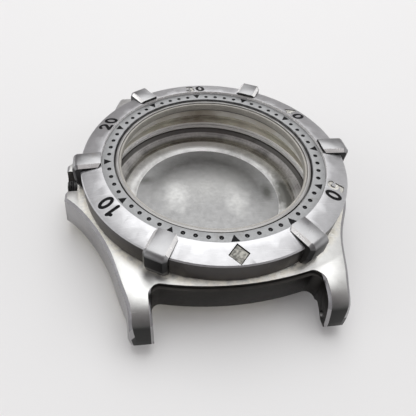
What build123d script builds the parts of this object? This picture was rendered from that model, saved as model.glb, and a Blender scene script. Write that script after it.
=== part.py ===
from build123d import *
import os
from math import atan2, cos, degrees, radians, sin, sqrt, tan

os.makedirs("parts", exist_ok=True)

# Empty steel watch case with a turning bezel and a screw back. All sizes are in millimetres.
# The origin is on the case axis, on the flat outer face of the back. +Z points to the
# crystal opening, +Y to 12 o'clock and +X to 3 o'clock, where the crown tube is.

# General fits
bezel_play = 0.05
back_play = 0.05
press_gap = 0.01
loose_gap = 0.03
overrun = 1.0
edge_break = 0.15

# Outline of the middle, seen from above
strap_width = 20.0
case_diameter = 37.7
lug_to_lug = 45.2
lug_tip_width = 2.5
lug_corner_overlap = 0.2
flank_flare = 0.6
guard_reach = 1.65
guard_length = 3.4
gap_wall_reach = 18.5
gap_wall_radius = 38.0
gap_ledge_width = 0.4
gap_ledge_depth = 0.55
gap_corner_radius = 1.0
top_bevel = 0.35
lug_inner_bevel = 0.3
guard_angle = 48.0
waist_angle = 30.0
# Places along the crown side flank, as shares of its length and of its reach
crown_flank_shares = ((0.341, 0.575), (0.584, 0.25), (0.788, 0.088))
# Places along the plain side flank, as shares of its length and of its reach
plain_flank_shares = ((0.788, 0.111), (0.584, 0.317), (0.412, 0.62))
plain_waist_shares = (0.213, 0.905)
# How far a face's normal points up, to tell the crest of the middle from its flanks
crest_slope_share = 0.15
flank_slope_share = 0.3

# Heights of the middle
mid_height = 4.3
lug_fall_lead = 0.27
lug_shoulder_setback = 1.45
lug_shoulder_drop = 0.8
lug_shoulder_radius = 3.0
lug_tip_lift = 1.45
lug_tip_thickness = 0.45
lug_tip_edge = 0.2
lug_heel_length = 1.15
lug_arch_rise = 0.5
lug_drop_shares = (0.62, 0.34)
lug_end_shares = (0.42, 0.54)
lug_arch_shares = (0.6, 0.7)

# Movement cavity, crystal seat and neck
crystal_diameter = 25.2
crystal_gasket_wall = 0.3
crystal_gasket_height = 0.95
seat_lip_width = 0.15
seat_lip_height = 0.3
neck_rim_wall = 0.38
neck_rim_drop = 0.2
neck_shoulder_drop = 0.8
neck_wall = 1.0
cavity_mouth_diameter = 27.2
cavity_neck_height = 1.4
cavity_bulge_shares = (0.55, 0.7)
holder_lip_overhang = 0.075
holder_lip_width = 0.15
holder_lip_height = 0.25

# Screw back
back_thread_diameter = 32.4
back_thread_length = 1.65
back_head_gap = 0.1
back_rim_wall = 1.25
back_rim_bevel = 0.2
back_flange_width = 1.0
back_flange_height = 1.95
back_flange_bevel = 0.3
back_boss_sides = 12
back_boss_width = 27.4
back_boss_height = 0.85
back_floor_thickness = 0.9
back_floor_diameter = 22.36
back_step_depth = 0.35
back_step_run = 0.175
back_rim_foot = 0.75
back_floor_dish = 0.12
back_land_shares = (0.667, 0.25)
back_gasket_size = 0.56

# Turning bezel
bezel_diameter = 36.0
ring_height = 3.2
ring_edge_gap = 0.22
ring_width = 1.65
ring_thickness = 0.55
face_rise = 0.38
face_fall = 0.59
bezel_lift = 0.2
bezel_hub_wall = 0.45
bezel_skirt_wall = 1.0
bezel_chamber_height = 1.45
bezel_edge = 0.15

# Six riders on the bezel
rider_count = 6
rider_width = 3.0
rider_reach = 1.0
rider_rise = 0.8
rider_slope = 0.15
rider_nose_radius = 0.85
rider_belly_height = 1.1
rider_foot_inset = 0.35
rider_edge = 0.4

# Ratchet under the bezel and the click spring on the case
click_count = 60
tooth_depth = 0.35
tooth_crest_share = 0.15
spring_thickness = 0.2
spring_side_gap = 0.1
tongue_count = 3
tongue_length = 5.0
tongue_rail = 0.35
tongue_slit = 0.1
tongue_bite = 0.25
tongue_end_gap = 0.08
tab_width = 1.0
tab_depth = 0.8
tab_play = 0.06

# Bezel wire and bezel gasket on the neck
wire_size = 0.5
wire_split_angle = 14.0
bezel_gasket_size = 0.5
groove_spacing = 0.42
seal_section_sides = 8

# Lozenge marker at 12
lozenge_length = 2.6
lozenge_width = 2.5
lozenge_depth = 0.45
pip_wall = 0.14
pip_sink = 0.12

# Crown tube, stem and spring bar holes
tube_diameter = 2.4
tube_bore = 1.5
tube_stand_out = 1.5
tube_seat_depth = 2.0
tube_head_diameter = 2.8
tube_head_length = 0.3
stem_hole_diameter = 1.84
crown_room_diameter = 5.1
stem_lift = 2.7
bar_hole_diameter = 0.9
bar_hole_depth = 0.9
bar_hole_setback = 1.4
bar_hole_lift = 0.95

# Derived heights
underside_z = back_flange_height + back_play
deck_z = underside_z + mid_height
ring_top_z = deck_z + ring_height
neck_top_z = ring_top_z - neck_rim_drop
neck_shoulder_z = ring_top_z - neck_shoulder_drop
seat_z = neck_top_z - crystal_gasket_height - edge_break
cavity_roof_z = seat_z - seat_lip_height
thread_top_z = underside_z + back_thread_length + back_head_gap
stem_z = underside_z + stem_lift
bezel_foot_z = deck_z + bezel_lift
tooth_root_z = deck_z + bezel_chamber_height
tooth_crest_z = tooth_root_z - tooth_depth

# Derived radii
case_radius = case_diameter / 2
strap_half = strap_width / 2
lug_half = lug_to_lug / 2
crystal_radius = crystal_diameter / 2
seat_radius = crystal_radius + crystal_gasket_wall
neck_rim_radius = seat_radius + neck_rim_wall
cavity_mouth_radius = cavity_mouth_diameter / 2
neck_radius = cavity_mouth_radius + neck_wall
bezel_bore_radius = neck_radius + bezel_play
hub_radius = bezel_bore_radius + bezel_hub_wall
ring_inner_radius = neck_rim_radius + ring_edge_gap
ring_outer_radius = ring_inner_radius + ring_width
bezel_radius = bezel_diameter / 2
skirt_radius = bezel_radius - bezel_skirt_wall
thread_radius = back_thread_diameter / 2
rim_inner_radius = thread_radius - back_rim_wall
holder_lip_radius = rim_inner_radius - holder_lip_overhang
cavity_foot_radius = holder_lip_radius + holder_lip_width
flange_radius = thread_radius + back_flange_width
guard_reach_x = case_radius + guard_reach


def revolved(points, arcs=()):
    """Turned solid from a closed (r, z) outline; arcs maps a corner index to an arc's middle."""
    arcs = dict(arcs)
    with BuildPart() as turned:
        with BuildSketch(Plane.XZ):
            with BuildLine():
                for index, start in enumerate(points):
                    end = points[(index + 1) % len(points)]
                    if index in arcs:
                        ThreePointArc(start, arcs[index], end)
                    else:
                        Line(start, end)
            make_face()
        revolve(axis=Axis.Z)
    return turned.part


def faceted_ring(centre_radius, centre_z, size, turn=360):
    """Ring round the case axis, its round section drawn with a few flats."""
    with BuildPart() as ring:
        with BuildSketch(Plane.XZ):
            with Locations((centre_radius, centre_z)):
                RegularPolygon(size / 2, seal_section_sides, major_radius=False,
                               rotation=180 / seal_section_sides)
        revolve(axis=Axis.Z, revolution_arc=turn)
    return ring.part


def crest_of(body):
    """Faces of a body that look up, such as the deck and the fall of the lugs."""
    return [face for face in body.faces() if face.normal_at().Z > crest_slope_share]


def half_plan(flare):
    """Upper half of the middle's outline from above, widened at the flanks by flare."""
    tip_x = strap_half + lug_tip_width
    shoulder_y = lug_half - lug_shoulder_setback
    corner_radius = lug_shoulder_setback + lug_corner_overlap
    crown_side = [(tip_x + across * (guard_reach_x - tip_x) + flare, along * lug_half)
                  for along, across in crown_flank_shares]
    plain_side = [(-tip_x - across * (case_radius - tip_x) - flare, along * lug_half)
                  for along, across in plain_flank_shares]
    guard_corner = (guard_reach_x + flare, guard_length)
    waist_along, waist_across = plain_waist_shares
    waist = (-tip_x - waist_across * (case_radius - tip_x) - flare, waist_along * lug_half)
    side_end = (-case_radius - flare, 0)
    guard_foot = (guard_reach_x + flare, 0)
    with BuildSketch() as plan:
        with BuildLine():
            Line(guard_foot, guard_corner)
            Spline(guard_corner, *crown_side, (tip_x + flare, shoulder_y),
                   tangents=((-tan(radians(guard_angle)), 1), (0, 1)))
            crown_corner = JernArc((tip_x + flare, shoulder_y), (0, 1), corner_radius, 90)
            lug_end = Line(crown_corner @ 1, (-tip_x - flare + corner_radius, (crown_corner @ 1).Y))
            plain_corner = JernArc(lug_end @ 1, (-1, 0), corner_radius, 90)
            Spline(plain_corner @ 1, *plain_side,
                   tangents=((0, -1), (-tan(radians(waist_angle)), -1)))
            ThreePointArc(plain_side[-1], waist, side_end)
            Line(side_end, guard_foot)
        make_face()
    return plan.sketch


def gap_corner_start():
    """Reach of the gap's lower wall where its rounded corners begin."""
    across = strap_half - gap_corner_radius
    centre_gap = gap_wall_radius + gap_corner_radius
    wall_centre_y = gap_wall_reach + gap_ledge_width - gap_wall_radius
    return wall_centre_y + sqrt(centre_gap**2 - across**2) * gap_wall_radius / centre_gap


def side_profile():
    """Outline of the middle from the side, with the lugs' fall, steep ends and arches."""
    fall_y = gap_corner_start() - lug_fall_lead
    foot_y = gap_wall_reach + gap_ledge_width + edge_break
    shoulder = (lug_half - lug_shoulder_setback, deck_z - lug_shoulder_drop)
    tip_top = (lug_half, lug_tip_lift + lug_tip_thickness)
    heel = (lug_half - lug_heel_length, lug_tip_lift)
    arch_start = (foot_y + lug_arch_rise, underside_z + lug_arch_rise)
    fall_along, fall_down = lug_drop_shares
    end_along, end_out = lug_end_shares
    arch_along, arch_up = lug_arch_shares
    fall_middle = (fall_y + fall_along * (shoulder[0] - fall_y), deck_z - fall_down * lug_shoulder_drop)
    end_middle = (shoulder[0] + end_out * lug_shoulder_setback,
                  shoulder[1] - end_along * (shoulder[1] - tip_top[1]))
    arch_middle = (heel[0] - arch_along * (heel[0] - arch_start[0]),
                   lug_tip_lift + arch_up * (arch_start[1] - lug_tip_lift))
    with BuildSketch() as profile:
        with BuildLine():
            Line((0, underside_z), (0, deck_z))
            Line((0, deck_z), (fall_y, deck_z))
            ThreePointArc((fall_y, deck_z), fall_middle, shoulder)
            ThreePointArc(shoulder, end_middle, tip_top)
            Line(tip_top, (lug_half - lug_tip_edge, lug_tip_lift))
            Line((lug_half - lug_tip_edge, lug_tip_lift), heel)
            ThreePointArc(heel, arch_middle, arch_start)
            Line(arch_start, (foot_y, underside_z))
            Line((foot_y, underside_z), (0, underside_z))
        make_face()
        corner = profile.vertices().sort_by_distance(Vertex(*shoulder, 0))[0]
        fillet(corner, lug_shoulder_radius)
        mirror(about=Plane.YZ)
    return profile.sketch


def gap_plan(wall_reach):
    """Plan of the gap between two lugs, whose back wall bulges out to wall_reach."""
    sag = gap_wall_radius - sqrt(gap_wall_radius**2 - strap_half**2)
    gap_end = lug_half + overrun
    with BuildSketch() as gap:
        with BuildLine():
            wall = ThreePointArc((-strap_half, wall_reach - sag), (0, wall_reach),
                                 (strap_half, wall_reach - sag))
            Polyline(wall @ 1, (strap_half, gap_end), (-strap_half, gap_end), wall @ 0)
        make_face()
        fillet(gap.vertices().group_by(Axis.Y)[0], gap_corner_radius)
        mirror(about=Plane.XZ)
    return gap.sketch


def cavity_cut():
    """Everything turned out of the middle: thread bore, movement cavity and crystal seat."""
    bulge_up, bulge_out = cavity_bulge_shares
    lip_top_z = thread_top_z + holder_lip_height
    flare_z = cavity_roof_z - cavity_neck_height
    bulge = (cavity_mouth_radius + bulge_out * (cavity_foot_radius - cavity_mouth_radius),
             lip_top_z + bulge_up * (flare_z - lip_top_z))
    lip_radius = crystal_radius - seat_lip_width
    bore_radius = thread_radius + back_play
    outline = ((0, underside_z - overrun), (bore_radius, underside_z - overrun),
               (bore_radius, thread_top_z), (holder_lip_radius, thread_top_z),
               (holder_lip_radius, lip_top_z - holder_lip_width), (cavity_foot_radius, lip_top_z),
               (cavity_mouth_radius, flare_z), (cavity_mouth_radius, cavity_roof_z),
               (lip_radius, cavity_roof_z),
               (lip_radius, seat_z), (seat_radius, seat_z), (seat_radius, neck_top_z + overrun),
               (0, neck_top_z + overrun))
    return revolved(outline, arcs={5: bulge})


def neck():
    """Raised neck that carries the crystal and on which the bezel turns, with its two grooves."""
    outline = ((seat_radius, deck_z - overrun), (neck_radius, deck_z - overrun),
               (neck_radius, neck_shoulder_z), (neck_rim_radius, neck_shoulder_z),
               (neck_rim_radius, neck_top_z), (seat_radius - press_gap, neck_top_z))
    return revolved(outline)


# Grooves on the neck: the wire's above, the gasket's below
wire_groove_height = wire_size + 2 * loose_gap
wire_z = neck_shoulder_z - groove_spacing - wire_groove_height / 2
gasket_groove_height = bezel_gasket_size + 2 * loose_gap
neck_gasket_z = wire_z - wire_groove_height / 2 - groove_spacing - gasket_groove_height / 2
wire_centre_radius = (neck_radius + bezel_bore_radius) / 2
wire_groove_depth = wire_size / 2 + loose_gap
gasket_centre_radius = bezel_bore_radius - loose_gap - bezel_gasket_size / 2


def neck_groove(centre_z, height, floor_radius):
    """Square groove round the neck."""
    low, high = centre_z - height / 2, centre_z + height / 2
    return revolved(((floor_radius, low), (neck_radius + overrun, low),
                     (neck_radius + overrun, high), (floor_radius, high)))


# Click spring band, between the hub and the skirt of the bezel
band_inner_radius = hub_radius + spring_side_gap
band_outer_radius = skirt_radius - spring_side_gap
band_middle_radius = (band_inner_radius + band_outer_radius) / 2
spring_top_z = deck_z + spring_thickness
tab_radius = band_outer_radius - spring_thickness / 2
tab_start_angle = 180 / tongue_count


def tab_boxes(play, depth):
    """Three small upright plates at the outer edge of the click spring band."""
    with BuildPart() as tabs:
        with BuildSketch(Plane.XY.offset(spring_top_z)):
            with PolarLocations(tab_radius, tongue_count, start_angle=tab_start_angle):
                Rectangle(spring_thickness + 2 * play, tab_width + 2 * play)
        extrude(amount=-spring_thickness - depth)
    return tabs.part


# Middle of the case
with BuildPart() as mid_case:
    with BuildSketch(Plane.XY.offset(lug_tip_lift - overrun)):
        add(half_plan(flank_flare))
    with BuildSketch(Plane.XY.offset(deck_z)):
        add(half_plan(0))
    loft(ruled=True)
    mirror(about=Plane.XZ)
    with BuildSketch(Plane.YZ):
        add(side_profile())
    extrude(amount=guard_reach_x + flank_flare + overrun, both=True, mode=Mode.INTERSECT)
    flank_faces = [face for face in mid_case.faces()
                   if abs(face.normal_at().Z) < flank_slope_share
                   and abs(face.normal_at().X) > flank_slope_share]
    bevel_edges = [edge for edge in mid_case.edges()
                   if any(edge in face.edges() for face in crest_of(mid_case))
                   and any(edge in face.edges() for face in flank_faces)]
    chamfer(bevel_edges, top_bevel)
    with BuildSketch(Plane.XY.offset(lug_tip_lift - overrun)):
        add(gap_plan(gap_wall_reach + gap_ledge_width))
    extrude(amount=deck_z - lug_tip_lift + 2 * overrun, mode=Mode.SUBTRACT)
    inner_edges = [edge for edge in mid_case.edges()
                   if abs(abs(edge.center().X) - strap_half) < press_gap
                   and any(edge in face.edges() for face in crest_of(mid_case))]
    chamfer(inner_edges, lug_inner_bevel)
    with BuildSketch(Plane.XY.offset(deck_z - gap_ledge_depth)):
        add(gap_plan(gap_wall_reach))
    extrude(amount=gap_ledge_depth + overrun, mode=Mode.SUBTRACT)
    add(neck())
    add(cavity_cut(), mode=Mode.SUBTRACT)
    add(neck_groove(wire_z, wire_groove_height, wire_centre_radius - wire_groove_depth),
        mode=Mode.SUBTRACT)
    add(neck_groove(neck_gasket_z, gasket_groove_height,
                    gasket_centre_radius - bezel_gasket_size / 2 - loose_gap), mode=Mode.SUBTRACT)
    add(tab_boxes(tab_play, tab_depth + tab_play), mode=Mode.SUBTRACT)
    with BuildSketch(Plane.YZ.offset(case_radius)):
        with Locations((0, stem_z)):
            Circle(crown_room_diameter / 2)
    extrude(amount=guard_reach + flank_flare + overrun, mode=Mode.SUBTRACT)
    with BuildSketch(Plane.YZ.offset(case_radius - tube_seat_depth)):
        with Locations((0, stem_z)):
            Circle(tube_diameter / 2 + press_gap)
    extrude(amount=tube_seat_depth + overrun, mode=Mode.SUBTRACT)
    with BuildSketch(Plane.YZ.offset(cavity_mouth_radius)):
        with Locations((0, stem_z)):
            Circle(stem_hole_diameter / 2)
    extrude(amount=case_radius - cavity_mouth_radius, mode=Mode.SUBTRACT)
    bar_y = lug_half - bar_hole_setback
    with BuildSketch(Plane.YZ):
        with Locations((bar_y, lug_tip_lift + bar_hole_lift), (-bar_y, lug_tip_lift + bar_hole_lift)):
            Circle(bar_hole_diameter / 2)
    extrude(amount=strap_half + bar_hole_depth, both=True, mode=Mode.SUBTRACT)
mid_case.part.label = "mid_case"
export_step(mid_case.part, "parts/mid_case.step")

# Crown tube, pressed into the middle at 3 o'clock
with BuildPart() as crown_tube:
    with BuildSketch(Plane.YZ.offset(case_radius - tube_seat_depth)):
        with Locations((0, stem_z)):
            Circle(tube_diameter / 2)
    extrude(amount=tube_seat_depth + tube_stand_out)
    with BuildSketch(Plane.YZ.offset(case_radius + press_gap)):
        with Locations((0, stem_z)):
            Circle(tube_head_diameter / 2)
    extrude(amount=tube_head_length)
    with BuildSketch(Plane.YZ.offset(case_radius - tube_seat_depth)):
        with Locations((0, stem_z)):
            Circle(tube_bore / 2)
    extrude(amount=tube_seat_depth + tube_stand_out, mode=Mode.SUBTRACT)
    chamfer(crown_tube.edges().group_by(Axis.X)[-1].filter_by(GeomType.CIRCLE).sort_by(
        SortBy.RADIUS)[-1], edge_break)
crown_tube.part.label = "crown_tube"
export_step(crown_tube.part, "parts/crown_tube.step")

# Crystal gasket, standing on the lip of the seat
with BuildPart() as crystal_gasket:
    with BuildSketch(Plane.XY.offset(seat_z)):
        Circle(seat_radius - press_gap)
        Circle(crystal_radius, mode=Mode.SUBTRACT)
    extrude(amount=crystal_gasket_height)
crystal_gasket.part.label = "crystal_gasket"
export_step(crystal_gasket.part, "parts/crystal_gasket.step")

# Heights on the bezel's sloped face
face_inner_radius = ring_outer_radius + press_gap
face_inner_z = ring_top_z + face_rise
face_slope = face_fall / (bezel_radius - face_inner_radius)
face_outer_z = face_inner_z - face_fall
ring_seat_z = ring_top_z - ring_thickness


def bezel_blank():
    """Turned body of the bezel, with its hub, its ratchet chamber and its skirt."""
    hub_foot_z = spring_top_z + loose_gap
    groove_radius = wire_centre_radius + wire_groove_depth
    groove_low = wire_z - wire_groove_height / 2
    groove_high = wire_z + wire_groove_height / 2
    outline = ((bezel_bore_radius, hub_foot_z), (hub_radius, hub_foot_z),
               (hub_radius, tooth_crest_z), (skirt_radius, tooth_crest_z),
               (skirt_radius, bezel_foot_z), (bezel_radius, bezel_foot_z),
               (bezel_radius, face_outer_z), (face_inner_radius, face_inner_z),
               (face_inner_radius, ring_seat_z), (bezel_bore_radius, ring_seat_z),
               (bezel_bore_radius, groove_high), (groove_radius, groove_high),
               (groove_radius, groove_low), (bezel_bore_radius, groove_low))
    return revolved(outline)


def rider():
    """One rider, pointing to +X, with a tall inner end and a rounded nose over the skirt."""
    nose_x = bezel_radius + rider_reach
    top_z = ring_top_z + rider_rise
    foot_x = nose_x - rider_foot_inset
    with BuildPart() as body:
        with BuildSketch(Plane.XZ) as side:
            with BuildLine():
                Polyline((face_inner_radius, ring_seat_z), (face_inner_radius, top_z),
                         (nose_x, top_z - rider_slope), (nose_x, bezel_foot_z + rider_belly_height),
                         (foot_x, bezel_foot_z), (skirt_radius + press_gap, bezel_foot_z),
                         (skirt_radius + press_gap, ring_seat_z), (face_inner_radius, ring_seat_z))
            make_face()
            nose = side.vertices().group_by(Axis.X)[-1].sort_by(Axis.Y)
            fillet(nose[-1], rider_nose_radius)
            fillet(side.vertices().group_by(Axis.X)[-1].sort_by(Axis.Y)[0], rider_nose_radius)
        extrude(amount=rider_width / 2, both=True)
        side_faces = body.faces().filter_by(Axis.Y)
        rims = [edge for face in side_faces for edge in face.edges()
                if edge.center().Z > face_outer_z or edge.center().X > bezel_radius]
        chamfer(rims, rider_edge)
    return body.part


def tooth_notch():
    """Saw shaped notch that runs outwards along +X: an upright stop face, then a ramp down."""
    pitch_angle = radians(360 / click_count)
    ramp_end = -hub_radius * tan(pitch_angle) * (1 - tooth_crest_share)
    with BuildPart() as notch:
        with BuildSketch(Plane.YZ.offset(hub_radius + press_gap)):
            with BuildLine():
                Polyline((0, tooth_crest_z - press_gap), (0, tooth_root_z), (ramp_end, tooth_crest_z),
                         (ramp_end, tooth_crest_z - press_gap), (0, tooth_crest_z - press_gap))
            make_face()
        extrude(amount=skirt_radius - hub_radius - spring_side_gap)
    return notch.part


# Angle of a tongue's tip, and of the stop face that it rests against
tip_angle = atan2(tongue_length / 2, band_middle_radius)
stop_angle = atan2(tongue_length / 2 + tongue_end_gap, band_middle_radius)

# Lozenge marker: the tangent plane of the sloped face at 12 o'clock
marker_radius = (face_inner_radius + bezel_radius) / 2
marker_z = face_inner_z - face_slope * (marker_radius - face_inner_radius)
marker_tilt = degrees(atan2(face_slope, 1))
marker_plane = Plane(origin=(0, marker_radius, marker_z), x_dir=(1, 0, 0),
                     z_dir=(0, sin(radians(marker_tilt)), cos(radians(marker_tilt))))


def lozenge(shrink):
    """Four cornered marker outline, drawn in by shrink on each side."""
    half_width = lozenge_width / 2 - shrink
    half_length = lozenge_length / 2 - shrink
    with BuildSketch() as outline:
        with BuildLine():
            Polyline((half_width, 0), (0, half_length), (-half_width, 0), (0, -half_length),
                     (half_width, 0))
        make_face()
    return outline.sketch


# Bezel with its riders and ratchet teeth in one piece
with BuildPart() as bezel:
    add(bezel_blank())
    rims = bezel.edges().filter_by(GeomType.CIRCLE).group_by(SortBy.RADIUS)[-1]
    chamfer(rims.sort_by(Axis.Z)[-1], bezel_edge)
    with PolarLocations(0, rider_count):
        add(rider())
    with PolarLocations(0, click_count, start_angle=degrees(stop_angle)):
        add(tooth_notch(), mode=Mode.SUBTRACT)
    with BuildSketch(marker_plane.offset(overrun)):
        add(lozenge(0))
    extrude(amount=-overrun - lozenge_depth, mode=Mode.SUBTRACT)
bezel.part.label = "bezel"
export_step(bezel.part, "parts/bezel.step")

# Lozenge pip, pressed into the recess at 12 o'clock
with BuildPart() as bezel_pip:
    with BuildSketch(marker_plane.offset(-pip_sink)):
        add(lozenge(pip_wall))
    extrude(amount=pip_sink - lozenge_depth)
bezel_pip.part.label = "bezel_pip"
export_step(bezel_pip.part, "parts/bezel_pip.step")

# Minute ring, a flat ring pressed into the bezel's recess
with BuildPart() as minute_ring:
    with BuildSketch(Plane.XY.offset(ring_seat_z)):
        Circle(ring_outer_radius)
        Circle(ring_inner_radius, mode=Mode.SUBTRACT)
    extrude(amount=ring_thickness)
minute_ring.part.label = "minute_ring"
export_step(minute_ring.part, "parts/minute_ring.step")

# Click spring: a flat band with three sprung tongues and three bent tabs
tongue_inner_radius = band_inner_radius + tongue_rail + tongue_slit
tongue_outer_radius = band_outer_radius - tongue_rail - tongue_slit


def band_sector(inner_radius, outer_radius, start_angle, end_angle):
    """Stretch of a flat band between two angles, in radians."""
    with BuildSketch() as sector:
        with BuildLine():
            outer = CenterArc((0, 0), outer_radius, degrees(start_angle),
                              degrees(end_angle - start_angle))
            inner = CenterArc((0, 0), inner_radius, degrees(start_angle),
                              degrees(end_angle - start_angle))
            Line(inner @ 0, outer @ 0)
            Line(inner @ 1, outer @ 1)
        make_face()
    return sector.sketch


def tongue():
    """One sprung tongue round +X, rooted in the band and bent up to its tip."""
    half = tongue_length / 2
    reach = half + overrun
    tip_top_z = tooth_crest_z + tongue_bite
    rise = (tip_top_z - spring_top_z) / tongue_length
    root_angle = -tip_angle - tongue_rail / band_middle_radius
    end_top_z = tip_top_z + rise * overrun
    with BuildPart() as blade:
        with BuildSketch(Plane.XY.offset(deck_z)):
            add(band_sector(tongue_inner_radius, tongue_outer_radius, root_angle, tip_angle))
        extrude(amount=tooth_root_z - deck_z)
        with BuildSketch(Plane.YZ):
            with BuildLine():
                Polyline((-reach, deck_z), (-half, deck_z),
                         (reach, end_top_z - spring_thickness), (reach, end_top_z),
                         (-half, spring_top_z), (-reach, spring_top_z), (-reach, deck_z))
            make_face()
        extrude(amount=bezel_radius, mode=Mode.INTERSECT)
    return blade.part


with BuildPart() as click_spring:
    with BuildSketch(Plane.XY.offset(deck_z)):
        Circle(band_outer_radius)
        Circle(band_inner_radius, mode=Mode.SUBTRACT)
        with PolarLocations(0, tongue_count):
            add(band_sector(tongue_inner_radius - tongue_slit, tongue_outer_radius + tongue_slit,
                            -tip_angle, stop_angle), mode=Mode.SUBTRACT)
    extrude(amount=spring_thickness)
    with PolarLocations(0, tongue_count):
        add(tongue())
    add(tab_boxes(0, tab_depth))
click_spring.part.label = "click_spring"
export_step(click_spring.part, "parts/click_spring.step")

# Split wire that holds the bezel on the neck
with BuildPart() as bezel_wire:
    add(faceted_ring(wire_centre_radius, wire_z, wire_size, 360 - wire_split_angle))
bezel_wire.part.label = "bezel_wire"
export_step(bezel_wire.part, "parts/bezel_wire.step")

# Gasket between the neck and the bezel
with BuildPart() as bezel_gasket:
    add(faceted_ring(gasket_centre_radius, neck_gasket_z, bezel_gasket_size))
bezel_gasket.part.label = "bezel_gasket"
export_step(bezel_gasket.part, "parts/bezel_gasket.step")

# Groove for the back gasket, in the top of the flange beside the thread
back_groove_width = back_gasket_size + 2 * loose_gap
back_gasket_radius = thread_radius + loose_gap + back_gasket_size / 2
back_gasket_z = back_flange_height - back_gasket_size / 2
back_groove_z = back_gasket_z - back_gasket_size / 2 - loose_gap


def back_blank():
    """Turned body of the back: flat outer face, flange, thread rim and dished inside."""
    rim_top_z = underside_z + back_thread_length
    rim_foot_z = back_flange_height + back_rim_foot
    step_top_z = back_floor_thickness + back_step_depth
    floor_radius = back_floor_diameter / 2
    land_end = (rim_inner_radius, rim_foot_z)
    land_start = (floor_radius, step_top_z)
    land_out, land_up = back_land_shares
    land_middle = (floor_radius + land_out * (rim_inner_radius - floor_radius),
                   step_top_z + land_up * (rim_foot_z - step_top_z))
    outline = ((0, 0), (flange_radius, 0), (flange_radius, back_flange_height),
               (thread_radius + back_groove_width, back_flange_height),
               (thread_radius + back_groove_width, back_groove_z), (thread_radius, back_groove_z),
               (thread_radius, rim_top_z), (rim_inner_radius + back_rim_bevel, rim_top_z),
               (rim_inner_radius, rim_top_z - back_rim_bevel), land_end, land_middle, land_start,
               (floor_radius - back_step_run, back_floor_thickness),
               (0, back_floor_thickness - back_floor_dish))
    return revolved(outline)


# Screw back, with a raised boss for the wrench
with BuildPart() as case_back:
    add(back_blank())
    with BuildSketch(Plane.XY):
        Circle(flange_radius + overrun)
        RegularPolygon(back_boss_width / 2, back_boss_sides, major_radius=False, mode=Mode.SUBTRACT)
    extrude(amount=back_boss_height, mode=Mode.SUBTRACT)
    chamfer(case_back.faces().sort_by(Axis.Z)[0].edges(), edge_break)
    flange_rims = case_back.edges().filter_by(GeomType.CIRCLE).group_by(SortBy.RADIUS)[-1]
    chamfer(flange_rims.sort_by(Axis.Z)[0], back_flange_bevel)
case_back.part.label = "case_back"
export_step(case_back.part, "parts/case_back.step")

# Gasket that the back squeezes against the middle
with BuildPart() as case_back_gasket:
    add(faceted_ring(back_gasket_radius, back_gasket_z, back_gasket_size))
case_back_gasket.part.label = "case_back_gasket"
export_step(case_back_gasket.part, "parts/case_back_gasket.step")
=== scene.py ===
"""Looks of an empty steel watch case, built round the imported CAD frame.

The middle, the bezel, the screw back and the small parts are dressed one sub-assembly at a
time. Pieces are shaped in millimetres and brought down to metres when they are finished.
"""

from __future__ import annotations

import logging
import math
from contextlib import contextmanager
from dataclasses import dataclass
from enum import Enum
from typing import Callable, Iterator, Sequence

import bmesh
import bpy
from bpy.types import Material, Node, NodeSocket, NodeTree, Object
from mathutils import Matrix, Vector

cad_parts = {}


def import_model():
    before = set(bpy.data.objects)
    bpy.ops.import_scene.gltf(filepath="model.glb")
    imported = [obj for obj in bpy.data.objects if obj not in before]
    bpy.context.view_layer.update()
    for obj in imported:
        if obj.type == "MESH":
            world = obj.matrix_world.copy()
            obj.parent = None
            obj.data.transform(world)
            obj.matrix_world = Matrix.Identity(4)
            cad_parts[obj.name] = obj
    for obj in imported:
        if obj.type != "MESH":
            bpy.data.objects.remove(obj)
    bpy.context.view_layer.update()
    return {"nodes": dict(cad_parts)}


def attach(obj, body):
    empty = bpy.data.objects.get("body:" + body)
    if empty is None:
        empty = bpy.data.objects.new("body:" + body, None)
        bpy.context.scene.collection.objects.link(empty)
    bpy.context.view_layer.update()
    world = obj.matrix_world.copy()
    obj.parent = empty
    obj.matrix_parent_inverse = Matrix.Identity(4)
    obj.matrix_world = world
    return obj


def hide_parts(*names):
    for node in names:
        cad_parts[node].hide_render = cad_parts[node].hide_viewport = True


LOG = logging.getLogger("watch_case")
METRES = 0.001
SMOOTH_UNDER = math.radians(32.0)
LEVEL = 0.95
MINUTES = 60

Point = tuple[float, float]
Triple = tuple[float, float, float]
Colour = tuple[float, float, float]
EdgeRule = Callable[[Vector], bool]
FaceRule = Callable[[Vector, Vector], str]


class Body(Enum):
    """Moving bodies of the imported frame."""

    MIDDLE = "middle"
    BEZEL = "bezel"
    BACK_SEAL = "back_seal"
    BACK = "back"


class Grain(Enum):
    """Ways in which a steel surface was worked, by the names of their node groups."""

    BLASTED = "blasted_grain"
    BRUSHED = "brushed_grain"
    TURNED = "turned_rings"
    POLISHED = "polished_skin"


# ---------------------------------------------------------------- materials


def tint(colour: Colour, factor: float) -> Colour:
    """Gives a colour times a factor, no brighter than white."""
    return tuple(min(1.0, part * factor) for part in colour)


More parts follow.
